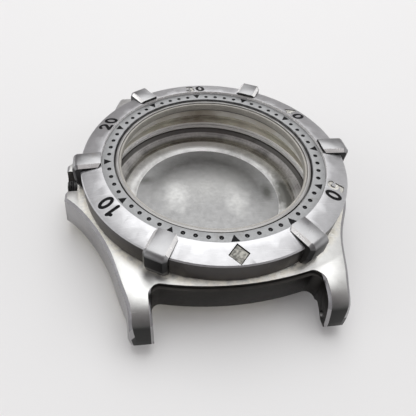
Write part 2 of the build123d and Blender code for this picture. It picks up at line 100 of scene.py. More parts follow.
class Sketchpad:
    """Adds and joins nodes in one node tree."""

    height_span: Point = (0.3, 0.7)

    def __init__(self, tree: NodeTree) -> None:
        """Keeps the node tree of a material, a group or the world."""
        self.tree = tree

    def feed(self, node: Node, links: dict) -> None:
        """Sets inputs of a node.

        Args:
            node: the node.
            links: what goes into each input: an output socket or a plain value.
        """
        for key, value in links.items():
            if isinstance(value, NodeSocket):
                self.tree.links.new(value, node.inputs[key])
            else:
                node.inputs[key].default_value = value

    def add(self, kind: str, links: dict | None = None, **values: object) -> Node:
        """Adds a shader node.

        Args:
            kind: the end of the node's type name.
            links: what goes into each input: an output socket or a plain value.
            values: properties of the node itself.

        Returns:
            The new node.
        """
        node = self.tree.nodes.new(f"ShaderNode{kind}")
        for key, value in values.items():
            setattr(node, key, value)
        self.feed(node, links or {})
        return node

    def math(self, operation: str, *terms: object, clamp: bool = False) -> NodeSocket:
        """Adds a Math node with up to three inputs and gives its result."""
        return self.add("Math", dict(enumerate(terms)), operation=operation,
                        use_clamp=clamp).outputs[0]

    def total(self, first: object, first_share: float, second: object,
              second_share: float) -> NodeSocket:
        """Adds up two values, each times its share."""
        return self.math("ADD", self.math("MULTIPLY", first, first_share),
                         self.math("MULTIPLY", second, second_share))

    def over(self, value: object, share: object, level: float, lowered: float,
             gain: float) -> NodeSocket:
        """Gives how far a value is over a level that a share lowers, times a gain."""
        start = self.math("SUBTRACT", level, self.math("MULTIPLY", share, lowered))
        return self.math("MULTIPLY", self.math("SUBTRACT", value, start), gain, clamp=True)

    def axes(self, vector: object) -> Sequence[NodeSocket]:
        """Gives the x, y and z of a vector."""
        return self.add("SeparateXYZ", {0: vector}).outputs

    def length(self, x: object, y: object) -> NodeSocket:
        """Gives the length of a flat vector."""
        flat = self.add("CombineXYZ", {0: x, 1: y}).outputs[0]
        return self.add("VectorMath", {0: flat}, operation="LENGTH").outputs["Value"]

    def towards(self, way: object, direction: Triple) -> NodeSocket:
        """Gives how far a way points in a direction, 1 where it is the same."""
        return self.add("VectorMath", {0: way, 1: direction},
                        operation="DOT_PRODUCT").outputs["Value"]

    def spread(self, value: object, low: object, high: object, start: float = 0.0,
               end: float = 1.0) -> NodeSocket:
        """Maps a value from low..high to start..end, kept inside those ends."""
        return self.add("MapRange", {"Value": value, "From Min": low, "From Max": high,
                                     "To Min": start, "To Max": end}).outputs["Result"]

    def blend(self, share: object, first: object, second: object) -> NodeSocket:
        """Mixes two colours; a share of 1 shows the second one only."""
        first, second = ((*c, 1.0) if isinstance(c, tuple) else c for c in (first, second))
        return self.add("Mix", {0: share, 6: first, 7: second}, data_type="RGBA").outputs[2]

    def group(self, tree: NodeTree, **values: float) -> dict[str, NodeSocket]:
        """Adds a node group with its input values and gives its outputs."""
        return self.add("Group", values, node_tree=tree).outputs

    def place_mm(self) -> NodeSocket:
        """Gives the place on the object, in millimetres."""
        return self.add("VectorMath", {0: self.add("TexCoord").outputs["Object"],
                                       "Scale": 1 / METRES}, operation="SCALE").outputs["Vector"]

    def noise(self, vector: object, scale: object, detail: float) -> NodeSocket:
        """Adds a Noise Texture and gives its factor."""
        return self.add("TexNoise", {"Vector": vector, "Scale": scale,
                                     "Detail": detail}).outputs["Fac"]

    def mottled(self, grain: dict[str, NodeSocket], colour: Colour, mottle: float,
                tone_share: float, span: Point) -> NodeSocket:
        """Varies a colour with the grain.

        Args:
            grain: outputs of the grain's group.
            colour: the mean colour.
            mottle: how far it goes up and down, as a share.
            tone_share: weight of the broad tone against the fine height.
            span: values of their sum that give the darkest and the lightest colour.

        Returns:
            The colour's socket.
        """
        tone = self.total(grain["Tone"], tone_share, grain["Height"], 1 - tone_share)
        return self.blend(self.spread(tone, *span), tint(colour, 1 - mottle),
                          tint(colour, 1 + mottle))

    def uneven(self, height: NodeSocket, middle: float, by: float) -> NodeSocket:
        """Varies a value round its middle by a share, with the grain's height."""
        return self.spread(height, *self.height_span, middle * (1 - by), middle * (1 + by))

    def bump(self, height: NodeSocket, relief_mm: float) -> NodeSocket:
        """Gives the normal of a relief of a height in millimetres."""
        return self.add("Bump", {"Height": height, "Distance": relief_mm * METRES}).outputs[0]


class GroupPad(Sketchpad):
    """Sketchpad of a new node group, all of whose sockets are plain values."""

    def __init__(self, name: str, **inputs: float) -> None:
        """Starts the group.

        Args:
            name: the group's name.
            inputs: input names and their defaults.
        """
        super().__init__(bpy.data.node_groups.new(name, "ShaderNodeTree"))
        for key, value in inputs.items():
            self.tree.interface.new_socket(key, in_out="INPUT",
                                           socket_type="NodeSocketFloat").default_value = value
        self.given = self.tree.nodes.new("NodeGroupInput").outputs

    def give(self, **results: NodeSocket) -> NodeTree:
        """Joins results to outputs of their names.

        Args:
            results: what the group puts out.

        Returns:
            The group's tree.
        """
        for key in results:
            self.tree.interface.new_socket(key, in_out="OUTPUT", socket_type="NodeSocketFloat")
        self.feed(self.tree.nodes.new("NodeGroupOutput"), results)
        return self.tree


class Effects:
    """Shader effects that several finishes share, each a node group built once."""

    # How fine each grain is, its detail, and the scale of the tone that goes with it.
    grains: dict[Grain, Triple] = {
        Grain.BLASTED: (9.0, 3.0, 0.9),
        Grain.BRUSHED: (1.0, 3.0, 0.5),
        Grain.TURNED: (7.0, 4.0, 0.35),
        Grain.POLISHED: (1.2, 2.0, 0.6),
    }
    brush_stretch: Triple = (9.0, 0.35, 9.0)
    scratch_stretch: Triple = (0.25, 9.0, 0.6)
    scratch_turns: Point = (0.5, 2.2)
    # Level over which each sets in, how far a full share of it lowers that, and its steepness.
    scratch_start: Triple = (0.8, 0.16, 14.0)
    grime_start: Triple = (0.66, 0.3, 4.0)
    grime_most: float = 0.7
    ragged: float = 0.9

    def __init__(self) -> None:
        """Builds all the groups."""
        self.grain = {kind: self._grain(kind) for kind in Grain}
        self.wear = self._wear()
        self.seam = self._seam()
        self.slope = self._slope()
        self.patch = self._patch()

    def _grain(self, kind: Grain) -> NodeTree:
        """Height and tone of steel that was worked in one way.

        Args:
            kind: brushed grain runs from 12 to 6 o'clock, and turned rings run round the axis.

        Returns:
            The group.
        """
        fineness, detail, breadth = self.grains[kind]
        pad = GroupPad(kind.value, Scale=1.0)
        place = course = pad.place_mm()
        if kind is Grain.BRUSHED:
            course = pad.add("Mapping", {"Vector": place, "Scale": self.brush_stretch}).outputs[0]
        elif kind is Grain.TURNED:
            x, y, z = pad.axes(place)
            course = pad.add("CombineXYZ", {0: pad.length(x, y), 2: z}).outputs[0]
        scale = pad.math("MULTIPLY", pad.given["Scale"], fineness)
        return pad.give(Height=pad.noise(course, scale, detail),
                        Tone=pad.noise(place, breadth, 3.0))

    def _wear(self) -> NodeTree:
        """Fine scratches in two directions and patches of grime.

        Returns:
            The group.
        """
        pad = GroupPad("wear", Scratches=0.3, Grime=0.3)
        place = pad.place_mm()
        lines = [pad.noise(pad.add("Mapping", {"Vector": place, "Rotation": (0, 0, turn),
                                               "Scale": self.scratch_stretch}).outputs[0],
                           1.0, 1.0) for turn in self.scratch_turns]
        spots = pad.total(pad.noise(place, 0.35, 5.0), 0.7, pad.noise(place, 3.0, 3.0), 0.3)
        dirt = pad.over(spots, pad.given["Grime"], *self.grime_start)
        return pad.give(Scratch=pad.over(pad.math("MAXIMUM", *lines), pad.given["Scratches"],
                                         *self.scratch_start),
                        Dirt=pad.math("MULTIPLY", dirt, self.grime_most))

    @staticmethod
    def _seam() -> NodeTree:
        """Uneven line at one radius, as in a joint, that lays grime, painted light or painted
        shade.

        Returns:
            The group.
        """
        pad = GroupPad("seam_grime_and_painted_light", Radius=10.0, Width=1.0)
        place = pad.place_mm()
        x, y, _ = pad.axes(place)
        away = pad.math("ABSOLUTE", pad.math("SUBTRACT", pad.length(x, y), pad.given["Radius"]))
        near = pad.math("SUBTRACT", 1.0, pad.math("DIVIDE", away, pad.given["Width"]), clamp=True)
        rough = pad.spread(pad.noise(place, 1.3, 5.0), 0.3, 0.6)
        return pad.give(Dirt=pad.math("MULTIPLY", near, rough))

    def _patch(self) -> NodeTree:
        """Soft-edged patch round a place, which carries painted highlights, reflections and shade.

        Returns:
            The group.
        """
        pad = GroupPad("painted_light_patch", X=0.0, Y=0.0, Wide=1.0, Tall=1.0, Soft=0.5)
        place = pad.place_mm()
        bent = pad.math("MULTIPLY", pad.math("SUBTRACT", pad.noise(place, 0.7, 4.0), 0.5),
                        self.ragged)
        away = [pad.math("DIVIDE", pad.math("SUBTRACT", spot, pad.given[middle]), pad.given[reach])
                for spot, middle, reach in zip(pad.axes(place), "XY", ("Wide", "Tall"))]
        inside = pad.math("SUBTRACT", 1.0, pad.math("ADD", pad.length(*away), bent))
        return pad.give(Share=pad.math("DIVIDE", inside, pad.given["Soft"], clamp=True))

    @staticmethod
    def _slope() -> NodeTree:
        """How far a face looks up: 0 for upright faces, 1 for flat ones.

        Returns:
            The group.
        """
        pad = GroupPad("slope", Low=0.2, High=0.75)
        up = pad.axes(pad.add("NewGeometry").outputs["Normal"])[2]
        return pad.give(Up=pad.spread(up, pad.given["Low"], pad.given["High"]))


@dataclass(frozen=True)
class Seam:
    """Line of colour at one radius round the case axis, in millimetres: grime in a joint, painted
    light, or painted shade of a gap.
    """

    radius: float
    width: float
    colour: Colour


@dataclass(frozen=True)
class Patch:
    """Soft-edged spot of another colour on a surface, in millimetres, each a painted highlight, a
    painted reflection or painted shade.
    """

    place: Point
    reach: Point
    colour: Colour
    softness: float


def new_material(name: str) -> tuple[Material, Sketchpad, Node]:
    """Starts a material.

    Args:
        name: the material's name.

    Returns:
        The material, its sketchpad and its shader node.
    """
    made = bpy.data.materials.new(name)
    made.use_nodes = True
    return made, Sketchpad(made.node_tree), made.node_tree.nodes["Principled BSDF"]


@dataclass(frozen=True)
class SteelFinish:
    """A steel surface: its colour, its grain, how worn it is, and the light and shade painted on
    it.
    """

    name: str
    colour: Colour
    roughness: float
    grain: Grain
    relief: float = 0.01
    grain_scale: float = 1.0
    mottle: float = 0.08
    metallic: float = 1.0
    scratches: float = 0.3
    scratch_gain: float = 1.3
    grime: float = 0.2
    grime_colour: Colour = (0.2, 0.17, 0.12)
    seams: tuple[Seam, ...] = ()
    patches: tuple[Patch, ...] = ()
    # Colour factor on upright faces, and the tilts between which it fades in: painted shade.
    steep: float = 1.0
    steep_span: Point = (0.2, 0.75)

    def material(self, effects: Effects) -> Material:
        """Makes the material.

        Args:
            effects: the shared node groups.

        Returns:
            The new material.
        """
        made, pad, shader = new_material(self.name)
        grain = pad.group(effects.grain[self.grain], Scale=self.grain_scale)
        wear = pad.group(effects.wear, Scratches=self.scratches, Grime=self.grime)
        base = pad.mottled(grain, self.colour, self.mottle, 0.6, (0.35, 0.65))
        base = pad.blend(wear["Scratch"], base, tint(self.colour, self.scratch_gain))
        base = pad.blend(wear["Dirt"], base, self.grime_colour)
        metallic = self.metallic
        # Seams lay grime, painted light and painted shade in lines at given radii.
        for seam in self.seams:
            line = pad.group(effects.seam, Radius=seam.radius, Width=seam.width)["Dirt"]
            base = pad.blend(line, base, seam.colour)
            metallic = pad.math("SUBTRACT", self.metallic, line, clamp=True)
        # Patches paint highlights, reflections and shade onto the surface.
        for patch in self.patches:
            spot = pad.group(effects.patch, X=patch.place[0], Y=patch.place[1],
                             Wide=patch.reach[0], Tall=patch.reach[1], Soft=patch.softness)
            base = pad.blend(spot["Share"], base, patch.colour)
        # Upright faces take the darker colour: painted shade.
        if self.steep < 1:
            slope = pad.group(effects.slope, Low=self.steep_span[0], High=self.steep_span[1])
            base = pad.blend(slope["Up"], tint(self.colour, self.steep), base)
        rough = pad.math("ADD", pad.uneven(grain["Height"], self.roughness, 0.15),
                         pad.math("MULTIPLY", wear["Dirt"], 0.25), clamp=True)
        relief = pad.math("ADD", grain["Height"], pad.math("MULTIPLY", wear["Scratch"], -0.6))
        pad.feed(shader, {"Base Color": base, "Metallic": metallic, "Roughness": rough,
                          "Normal": pad.bump(relief, self.relief)})
        return made


@dataclass(frozen=True)
class SoftFinish:
    """A surface that isn't metal: rubber, nylon or paint."""

    name: str
    colour: Colour
    roughness: float
    mottle: float = 0.15
    relief: float = 0.01
    gloss: float = 0.5
    grain_scale: float = 1.0

    def material(self, effects: Effects) -> Material:
        """Makes the material.

        Args:
            effects: the shared node groups.

        Returns:
            The new material.
        """
        made, pad, shader = new_material(self.name)
        grain = pad.group(effects.grain[Grain.BLASTED], Scale=self.grain_scale)
        pad.feed(shader, {
            "Base Color": pad.mottled(grain, self.colour, self.mottle, 0.3, (0.4, 0.6)),
            "Roughness": pad.uneven(grain["Height"], self.roughness, 0.1),
            "Specular IOR Level": self.gloss,
            "Normal": pad.bump(grain["Height"], self.relief)})
        return made


STEELS: dict[str, SteelFinish] = {
    "bezel_face": SteelFinish(
        "satin_bezel_face", (0.44, 0.44, 0.45), 0.38, Grain.BLASTED, 0.004, grain_scale=0.7,
        scratches=0.95, scratch_gain=1.12, grime=0.1),
    # Very dark wall colour: painted dark reflection, with some grime.
    "bezel_wall": SteelFinish(
        "bezel_wall_painted_dark_reflection", (0.075, 0.07, 0.068), 0.36, Grain.TURNED, 0.006, grime=0.4,
        grime_colour=(0.09, 0.08, 0.06)),
    # Polished rim made pale and partly diffuse so that its edges show as bright lines: painted
    # highlight.
    "bezel_rim": SteelFinish(
        "bezel_rim_painted_highlight", (0.78, 0.77, 0.765), 0.26, Grain.POLISHED, 0.004, metallic=0.5,
        grime=0.0),
    "engraving": SteelFinish(
        "bare_engraving", (0.66, 0.65, 0.61), 0.5, Grain.BLASTED, 0.06, mottle=0.4),
    # Near-black recess walls and floor: painted shade.
    "recess": SteelFinish("marker_recess_painted_shade", (0.07, 0.065, 0.055), 0.5, Grain.BLASTED),
    # The riders' upright faces are darkened: painted shade.
    "rider": SteelFinish(
        "worn_rider_steel", (0.27, 0.27, 0.275), 0.32, Grain.POLISHED, 0.004, grain_scale=0.7,
        grime=0.1, steep=0.12, steep_span=(0.15, 0.6)),
    # The near-black seams at the ring's outer and inner edges are painted shade of the gaps beside
    # it.
    "ring": SteelFinish(
        "bead_blasted_ring", (0.34, 0.345, 0.35), 0.62, Grain.BLASTED, 0.012,
        seams=(Seam(15.18, 0.1, (0.02, 0.02, 0.02)), Seam(13.47, 0.1, (0.02, 0.02, 0.02)))),
    # The cream seam by the bezel is grime, brightened and made less metallic so that it shows as
    # lit: partly painted light. Upright faces of the deck and lugs are darkened: painted shade.
    "deck": SteelFinish(
        "satin_deck", (0.52, 0.52, 0.51), 0.36, Grain.BLASTED, 0.005, grime=0.1,
        seams=(Seam(18.25, 1.0, (0.92, 0.885, 0.78)),), steep=0.08, steep_span=(0.42, 0.95)),
    "bevel": SteelFinish(
        "polished_bevel", (0.25, 0.245, 0.255), 0.2, Grain.POLISHED, 0.006, grime=0.0),
    "flank": SteelFinish("brushed_flank", (0.34, 0.335, 0.34), 0.34, Grain.BRUSHED, 0.01),
    # Near-black walls between the lugs: painted shade, with some grime.
    "gap": SteelFinish(
        "gap_wall_painted_shade", (0.035, 0.033, 0.031), 0.45, Grain.BRUSHED, 0.01, grime=0.3,
        grime_colour=(0.07, 0.06, 0.05)),
    "neck": SteelFinish("turned_neck", (0.26, 0.255, 0.25), 0.42, Grain.TURNED, 0.004),
    # Near-black tube in the crown room: painted shade.
    "tube": SteelFinish("turned_crown_tube_painted_shade", (0.05, 0.05, 0.05), 0.4, Grain.TURNED, 0.004),
    # Cavity wall made pale and partly diffuse so that it looks lit: painted light. Its patches are
    # painted reflections, dark at the middle and bright at the sides.
    "cavity": SteelFinish(
        "brown_cavity_wall_painted_light", (0.84, 0.76, 0.63), 0.2, Grain.TURNED, 0.012, mottle=0.3,
        metallic=0.35, grime=0.1, grime_colour=(0.3, 0.25, 0.18), patches=(
            Patch((-0.5, -14.0), (5.0, 2.5), (0.36, 0.31, 0.25), 0.9),
            Patch((9.5, -10.5), (3.6, 3.2), (1.0, 0.97, 0.88), 0.9),
            Patch((-9.0, -11.0), (3.8, 3.2), (1.0, 0.95, 0.82), 0.9),
        )),
    # Lighter copy of the cavity wall for its top band: painted light, with a dark painted
    # reflection at the middle.
    "cavity_top": SteelFinish(
        "cavity_top_painted_light", (0.98, 0.92, 0.8), 0.2, Grain.TURNED, 0.01, mottle=0.2, metallic=0.2,
        grime=0.1, grime_colour=(0.3, 0.25, 0.18), patches=(
            Patch((-0.5, -13.6), (4.0, 2.0), (0.5, 0.45, 0.37), 0.9),
        )),
    # Near-white, barely metallic lip so that it shows as a bright line: painted highlight.
    "lip": SteelFinish(
        "turned_lip_painted_highlight", (1.0, 0.99, 0.97), 0.3, Grain.TURNED, 0.004, metallic=0.1, grime=0.0),
    "back": SteelFinish("turned_back", (0.5, 0.5, 0.49), 0.3, Grain.TURNED, 0.003, grime=0.15),
    "back_floor": SteelFinish(
        "back_floor_painted_highlights", (0.23, 0.23, 0.23), 0.42, Grain.BLASTED, 0.003, grain_scale=0.3,
        mottle=0.1, grime=0.0, scratches=0.5, grime_colour=(0.17, 0.165, 0.155), patches=(
            # The floor's lighter patches are painted highlights and its darker ones painted shade.
            Patch((0.0, -2.5), (9.5, 5.0), (0.29, 0.29, 0.285), 0.9),
            Patch((4.5, -1.2), (2.4, 4.0), (0.4, 0.4, 0.395), 0.8),
            Patch((-4.5, 1.0), (2.3, 4.0), (0.35, 0.35, 0.345), 0.8),
            Patch((9.2, -4.6), (1.9, 1.2), (0.12, 0.12, 0.115), 0.9),
            Patch((-9.7, -0.4), (1.3, 2.4), (0.1, 0.1, 0.095), 0.8),
        )),
    # Land made pale and partly diffuse: painted light. Its white patch is a painted highlight and
    # its dark patch painted shade.
    "back_land": SteelFinish(
        "back_land_painted_light", (0.7, 0.7, 0.695), 0.4, Grain.BLASTED, 0.008, mottle=0.2, metallic=0.6,
        grime=0.3, grime_colour=(0.3, 0.29, 0.27), patches=(
            Patch((0.5, -12.3), (9.0, 2.6), (1.0, 1.0, 1.0), 0.6),
            Patch((-12.0, 1.0), (1.6, 6.0), (0.16, 0.16, 0.15), 0.6),
        )),
    "back_slope": SteelFinish(
        "streaked_back_slope", (0.4, 0.39, 0.38), 0.3, Grain.TURNED, 0.01, mottle=0.5, grime=0.5,
        grime_colour=(0.08, 0.075, 0.07)),
    # Dark corner band below the rim: painted shade.
    "back_corner": SteelFinish(
        "back_corner_painted_shade", (0.13, 0.125, 0.12), 0.4, Grain.TURNED, 0.006, grime=0.4,
        grime_colour=(0.05, 0.045, 0.04)),
    "spring": SteelFinish("rolled_spring_steel", (0.5, 0.5, 0.5), 0.3, Grain.BRUSHED, 0.004),
}
SOFTS: dict[str, SoftFinish] = {
    "paint": SoftFinish("black_paint", (0.005, 0.005, 0.006), 0.5, gloss=0.1),
    "filling": SoftFinish(
        "worn_marker_filling", (0.34, 0.335, 0.3), 0.5, mottle=0.6, relief=0.12, grain_scale=0.35),
    "nylon": SoftFinish("dull_gasket_nylon", (0.4, 0.385, 0.35), 0.4),
    "rubber": SoftFinish("greased_rubber", (0.02, 0.02, 0.02), 0.4),
}


class Finishes:
    """Materials of the case, each made once when it is first asked for."""

    def __init__(self) -> None:
        """Builds the shared effects."""
        self._effects = Effects()
        self._made: dict[str, Material] = {}

    def __getitem__(self, key: str) -> Material:
        """Gives a finish's material by the finish's key."""
        if key not in self._made:
            self._made[key] = {**STEELS, **SOFTS}[key].material(self._effects)
        return self._made[key]


# ---------------------------------------------------------------- the studio


def add_object(name: str, data: bpy.types.ID) -> Object:
    """Puts an object into the scene.

    Args:
        name: the object's name.
        data: its mesh, lamp or camera.

    Returns:
        The object.
    """
    thing = bpy.data.objects.new(name, data)
    bpy.context.scene.collection.objects.link(thing)
    return thing


@dataclass(frozen=True)
class PhotoCamera:
    """The photograph's camera, found from the sixty minute marks of the ring."""

    place_mm: Triple = (10.441, 38.904, 43.721)
    right: Triple = (-0.99443, 0.10494, 0.01023)
    down: Triple = (0.07411, 0.76465, -0.64017)
    ahead: Triple = (-0.07500, -0.63584, -0.76817)
    sensor: float = 36.0
    lens: float = 32.563
    shift: Point = (0.09317, 0.02284)
    clip: Point = (0.001, 10.0)

    def build(self) -> None:
        """Makes the camera the scene's own."""
        data = bpy.data.cameras.new("photo_camera")
        data.sensor_width = self.sensor
        data.lens = self.lens
        data.shift_x, data.shift_y = self.shift
        data.clip_start, data.clip_end = self.clip
        camera = add_object("photo_camera", data)
        turn = Matrix((self.right, [-c for c in self.down], [-c for c in self.ahead])).transposed()
        camera.matrix_world = Matrix.Translation(Vector(self.place_mm) * METRES) @ turn.to_4x4()
        bpy.context.scene.camera = camera


@dataclass(frozen=True)
class Softbox:
    """A soft round lamp that looks at the case, placed by the direction it shines from."""

    name: str
    azimuth: float
    elevation: float
    distance: float
    width: float
    power: float

    def build(self) -> None:
        """Makes the lamp."""
        data = bpy.data.lights.new(self.name, "AREA")
        data.shape = "DISK"
        data.size = self.width
        data.energy = self.power
        side, rise = math.radians(self.azimuth), math.radians(self.elevation)
        flat = math.cos(rise)
        way = Vector((flat * math.cos(side), flat * math.sin(side), math.sin(rise)))
        add_object(self.name, data).matrix_world = (
            Matrix.Translation(way * self.distance)
            @ way.to_track_quat("Z", "Y").to_matrix().to_4x4())


@dataclass
class Studio:
    """Floor, world, lamps and camera."""

    floor_side: float = 2.0
    floor_drop: float = 0.00001
    floor_colour: Colour = (0.8, 0.8, 0.8)
    floor_roughness: float = 0.8
    bright_sky: Colour = (1.3, 1.3, 1.3)
    dim_sky: Colour = (0.33, 0.31, 0.315)
    bright_way: Triple = (-0.08, -0.45, 0.89)
    bright_span: Point = (0.45, 1.0)
    bright_power: float = 2.0
    side_glow: float = 0.9
    side_span: Point = (0.45, 0.9)
    side_power: float = 1.5
    shaded_ways: tuple[Triple, ...] = ((-0.52, -0.75, 0.38), (0.2, -0.87, 0.45))
    shade_span: Point = (0.945, 0.985)
    lamps: tuple[Softbox, ...] = (
        Softbox("overhead_softbox", -107.0, 64.0, 0.45, 0.44, 0.86),
        Softbox("crown_side_softbox", -30.0, 14.0, 0.45, 0.19, 0.16),
        Softbox("far_side_softbox", -101.0, 23.0, 0.45, 0.12, 0.05),
    )

    def build(self) -> None:
        """Makes everything that isn't part of the object."""
        bpy.context.scene.view_settings.view_transform = "Standard"
        PhotoCamera().build()
        for lamp in self.lamps:
            lamp.build()
        self._world()
        self._floor()

    def _world(self) -> None:
        """Lights the case from all round, most from above, from 6 o'clock and from the sides."""
        world = bpy.data.worlds.new("studio")
        world.use_nodes = True
        bpy.context.scene.world = world
        pad = Sketchpad(world.node_tree)
        way = pad.add("TexCoord").outputs["Generated"]
        above = pad.spread(pad.towards(way, self.bright_way), *self.bright_span)
        above = pad.math("POWER", above, self.bright_power)
        for shaded in self.shaded_ways:
            lit = pad.spread(pad.towards(way, shaded), *self.shade_span, 1.0, 0.0)
            above = pad.math("MULTIPLY", above, lit)
        aside = pad.math("ABSOLUTE", pad.axes(way)[0])
        beside = pad.spread(aside, *self.side_span, 0.0, self.side_glow)
        beside = pad.math("POWER", beside, self.side_power)
        sky = pad.blend(pad.math("MAXIMUM", above, beside), self.dim_sky, self.bright_sky)
        pad.feed(world.node_tree.nodes["Background"], {"Color": sky})

    def _floor(self) -> None:
        """Lays the pale floor."""
        bpy.ops.mesh.primitive_plane_add(size=self.floor_side, location=(0, 0, -self.floor_drop))
        floor = bpy.context.object
        floor.name = "floor"
        made, pad, shader = new_material("pale_floor")
        pad.feed(shader, {"Base Color": (*self.floor_colour, 1.0),
                          "Roughness": self.floor_roughness})
        floor.data.materials.append(made)


# ---------------------------------------------------------------- shaping


class Workpiece:
    """One mesh in the making, in millimetres until it is finished."""

    weld: float = 0.001
    flat_under: float = math.radians(0.1)
    cap_steps: int = 8
    wire_sides: int = 12
    wire_steps: int = 128
    mitre: float = 0.5
    on_wall: float = 0.01

    def __init__(self, thing: Object) -> None:
        """Keeps the mesh object that is worked on."""
        self.thing = thing

    @staticmethod
    def _clear() -> None:
        """Leaves edit mode and deselects everything."""
        if bpy.context.object and bpy.context.object.mode != "OBJECT":
            bpy.ops.object.mode_set(mode="OBJECT")
        bpy.ops.object.select_all(action="DESELECT")

    def take(self) -> None:
        """Makes this the only selected object."""
        self._clear()
        self.thing.select_set(True)
        bpy.context.view_layer.objects.active = self.thing

    @contextmanager
    def edit(self, action: str = "SELECT") -> Iterator[bmesh.types.BMesh]:
        """Opens edit mode.

        Args:
            action: what to do with the selection first.

        Yields:
            The mesh as it stands in edit mode.
        """
        self.take()
        bpy.ops.object.mode_set(mode="EDIT")
        bpy.ops.mesh.select_mode(type="VERT")
        bpy.ops.mesh.select_all(action=action)
        yield bmesh.from_edit_mesh(self.thing.data)
        bpy.ops.object.mode_set(mode="OBJECT")

    @staticmethod
    def _look_outwards() -> None:
        """Turns all faces of the mesh in edit mode outwards."""
        bpy.ops.mesh.select_all(action="SELECT")
        bpy.ops.mesh.normals_make_consistent(inside=False)

    @classmethod
    def from_node(cls, node: str, name: str) -> Workpiece:
        """Copies a CAD node, merges its loose triangles and joins its flat faces.

        Args:
            node: the CAD node.
            name: the new piece's name.

        Returns:
            The copy, in millimetres.
        """
        piece = cls(add_object(name, NODES[node].data.copy()))
        piece.scale(1 / METRES)
        bpy.ops.mesh.customdata_custom_splitnormals_clear()
        with piece.edit():
            bpy.ops.mesh.remove_doubles(threshold=cls.weld)
            bpy.ops.mesh.dissolve_limited(angle_limit=cls.flat_under)
        return piece

    @classmethod
    def ring_of_points(cls, name: str, points: Sequence[Sequence[float]], fill: str) -> Workpiece:
        """Makes a closed loop of points from a circle whose corners are moved to their places.

        Args:
            name: the piece's name.
            points: x, y, z of each corner.
            fill: NGON for a face or NOTHING for bare edges.

        Returns:
            The loop.
        """
        cls._clear()
        bpy.ops.mesh.primitive_circle_add(vertices=len(points), fill_type=fill)
        piece = cls(bpy.context.object)
        piece.thing.name = name
        for corner, point in zip(piece.thing.data.vertices, points):
            corner.co = point
        return piece

    @classmethod
    def turned(cls, name: str, profile: Sequence[Point], steps: int = 192,
               turn: float = 360.0) -> Workpiece:
        """Spins a closed outline round the case axis.

        Args:
            name: the piece's name.
            profile: radius and height of each corner.
            steps: number of facets round the axis.
            turn: angle of the spin, in degrees.

        Returns:
            The turned piece, closed.
        """
        whole = turn >= 360
        points = [(radius, 0.0, height) for radius, height in profile]
        piece = cls.ring_of_points(name, points, "NOTHING" if whole else "NGON")
        with piece.edit():
            bpy.ops.mesh.spin(steps=steps, angle=math.radians(turn), center=(0, 0, 0),
                              axis=(0, 0, 1))
        with piece.edit():
            bpy.ops.mesh.remove_doubles(threshold=cls.weld / 2)
            bpy.ops.mesh.delete_loose(use_verts=True, use_edges=True, use_faces=False)
            cls._look_outwards()
        return piece

    @classmethod
    def round_ring(cls, name: str, radius: float, height: float, half: float,
                   turn: float = 360.0) -> Workpiece:
        """Bends a round wire of a half width into a ring, or part of one, round the case axis."""
        section = bow((radius, height), (half, half), 0, 360, cls.wire_sides)[:-1]
        return cls.turned(name, section, cls.wire_steps, turn)

    @classmethod
    def plate(cls, name: str, outline: Sequence[Point], low: float, high: float) -> Workpiece:
        """Extrudes a flat outline.

        Args:
            name: the piece's name.
            outline: x and y of each corner.
            low: height of the lower face.
            high: height of the upper face.

        Returns:
            The plate.
        """
        piece = cls.ring_of_points(name, [(x, y, low) for x, y in outline], "NGON")
        piece.thicken(high - low)
        return piece

    @classmethod
    def stroke(cls, name: str, points: Sequence[Point], half: float, low: float,
               high: float) -> Workpiece:
        """Sweeps a round cutter along a line; a line that ends where it starts becomes a ring.

        Args:
            name: the piece's name.
            points: the line.
            half: half the stroke's width.
            low: height of the lower face.
            high: height of the upper face.

        Returns:
            The stroke as a solid.
        """
        line = [Vector(point) for point in points]
        closed = (line[0] - line[-1]).length < half / 10
        if closed:
            line.pop()
        left, right = [], []
        for index, point in enumerate(line):
            before = point - line[index - 1] if index or closed else line[1] - point
            after = line[(index + 1) % len(line)] - point if (
                index < len(line) - 1 or closed) else before
            across = (before.normalized() + after.normalized()).normalized().orthogonal()
            across *= half / max(cls.mitre, abs(across.dot(before.normalized().orthogonal())))
            left.append(point + across)
            right.append(point - across)
        if closed:
            piece, inner = (cls.ring_of_points(name, [(*point, low) for point in side], "NOTHING")
                            for side in (left, right))
            piece.join([inner])
            with piece.edit():
                bpy.ops.mesh.bridge_edge_loops()
            piece.thicken(high - low)
            return piece
        caps = [[end + Matrix.Rotation(-step * math.pi / cls.cap_steps, 2) @ (start - end)
                 for step in range(1, cls.cap_steps)]
                for end, start in ((line[-1], left[-1]), (line[0], right[0]))]
        return cls.plate(name, [*left, *caps[0], *right[::-1], *caps[1]], low, high)

    def thread(self, radius: float, low: float, high: float, pitch: float, depth: float) -> None:
        """Sinks a screw thread into a turned wall, by moving its corners inwards.

        Args:
            radius: radius of the wall.
            low: height where the thread starts.
            high: height where it ends.
            pitch: rise of one turn.
            depth: depth of the groove.
        """
        for corner in self.thing.data.vertices:
            x, y, height = corner.co
            if abs(math.hypot(x, y) - radius) < self.on_wall and low <= height <= high:
                turns = (height - low) / pitch - math.atan2(y, x) / math.tau
                groove = 1 - abs(2 * (turns % 1) - 1)
                fade = min(1.0, (height - low) / pitch, (high - height) / pitch)
                share = 1 - depth * groove * fade / radius
                corner.co = (x * share, y * share, height)

    def scrap(self) -> None:
        """Removes the piece."""
        bpy.data.objects.remove(self.thing)

    def thicken(self, height: float) -> None:
        """Extrudes a flat piece upwards by a height."""
        with self.edit():
            bpy.ops.mesh.extrude_region_move(TRANSFORM_OT_translate={"value": (0, 0, height)})
            self._look_outwards()

    def scale(self, factor: float) -> None:
        """Scales the piece about the origin and applies it.

        Args:
            factor: the scale.
        """
        self.take()
        self.thing.scale = (factor,) * 3
        bpy.ops.object.transform_apply(location=False, rotation=False, scale=True)

